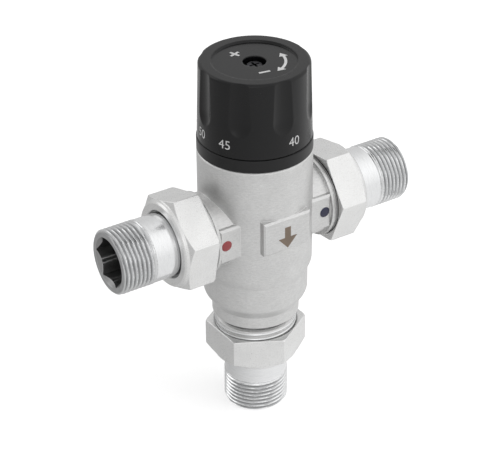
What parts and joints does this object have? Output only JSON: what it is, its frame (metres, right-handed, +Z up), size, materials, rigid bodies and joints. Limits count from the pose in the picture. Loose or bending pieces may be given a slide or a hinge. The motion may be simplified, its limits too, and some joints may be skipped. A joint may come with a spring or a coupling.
{
  "type": "thermostatic mixing valve",
  "caption": "Tee-shaped thermostatic mixing valve: hot and cold unions at the sides, mixed outlet below, fluted black temperature knob on top.",
  "frame": {"origin": "centre of the outlet tailpiece's end face", "axes": "+Z up along the knob's and outlet's common axis, +X along the inlets' axis towards the cold inlet, -Y is the front with the colour dots' flats"},
  "size_m": [0.1344, 0.0472, 0.1576],
  "materials": {
    "satin_nickel": "satin nickel plate, blasted",
    "chrome_satin": "chrome plate, soft",
    "chrome_plate": "chrome plate, bright",
    "brass": "turned brass",
    "spring_steel": "stainless steel",
    "black_steel": "blackened steel",
    "black_plastic": "satin black moulding",
    "knob_plastic": "satin black moulding",
    "check_plastic": "off-white moulding",
    "rubber": "EPDM",
    "fibre": "fibre washer",
    "red_enamel": "enamel paint",
    "blue_enamel": "enamel paint"
  },
  "bodies": {
    "valve": {"valve_body": "satin_nickel", "stop_ring": "black_plastic", "bonnet": "brass", "bonnet_o_ring": "rubber", "hot_seat_ring": "spring_steel", "return_spring": "spring_steel", "hot_marker": "red_enamel", "cold_marker": "blue_enamel", "outlet_tailpiece": "chrome_plate", "outlet_union_nut": "chrome_satin", "outlet_gasket": "fibre", "hot_tailpiece": "chrome_plate", "hot_union_nut": "chrome_satin", "hot_gasket": "fibre", "cold_tailpiece": "chrome_plate", "cold_union_nut": "chrome_satin", "cold_gasket": "fibre", "hot_check_housing": "check_plastic", "hot_check_o_ring": "rubber", "hot_check_spring": "spring_steel", "cold_check_housing": "check_plastic", "cold_check_o_ring": "rubber", "cold_check_spring": "spring_steel"},
    "knob": {"temperature_knob": "knob_plastic", "knob_screw": "black_steel", "spindle": "brass", "spindle_o_ring": "rubber", "spindle_circlip": "spring_steel"},
    "plunger": {"plunger": "brass", "plunger_circlip": "spring_steel", "overtravel_spring": "spring_steel"},
    "spring_cap": {"spring_cap": "brass", "actuator_pin": "spring_steel"},
    "shuttle": {"mixing_shuttle": "brass", "shuttle_o_ring": "rubber", "wax_element": "brass"},
    "hot_poppet": {"hot_check_poppet": "check_plastic", "hot_poppet_seal": "rubber"},
    "cold_poppet": {"cold_check_poppet": "check_plastic", "cold_poppet_seal": "rubber"}
  },
  "joints": [
    {"name": "knob_turn", "type": "hinge", "parent": "valve", "child": "knob", "pos_m": [0, 0, 0.14], "axis": [0, 0, 1], "range_deg": [-70, 148]},
    {"name": "plunger_travel", "type": "slide", "parent": "valve", "child": "plunger", "axis": [0, 0, 1], "range_m": [-0.00039, 0.00082]},
    {"name": "overtravel_slide", "type": "slide", "parent": "plunger", "child": "spring_cap", "axis": [0, 0, 1], "range_m": [0, 0.0015], "stiffness_N_per_m": 6000, "springref_m": -0.003, "deforming": ["overtravel_spring"]},
    {"name": "shuttle_slide", "type": "slide", "parent": "valve", "child": "shuttle", "axis": [0, 0, 1], "range_m": [-0.00055, 0.00055], "stiffness_N_per_m": 3000, "springref_m": 0.00017, "deforming": ["return_spring"]},
    {"name": "hot_check_slide", "type": "slide", "parent": "valve", "child": "hot_poppet", "axis": [1, 0, 0], "range_m": [0, 0.0025], "stiffness_N_per_m": 120, "springref_m": -0.004, "deforming": ["hot_check_spring"]},
    {"name": "cold_check_slide", "type": "slide", "parent": "valve", "child": "cold_poppet", "axis": [-1, 0, 0], "range_m": [0, 0.0025], "stiffness_N_per_m": 120, "springref_m": -0.004, "deforming": ["cold_check_spring"]}
  ],
  "couplings": [
    {"joint": "knob_turn", "follows": "plunger_travel", "rad_per_m": 3141.6}
  ]
}
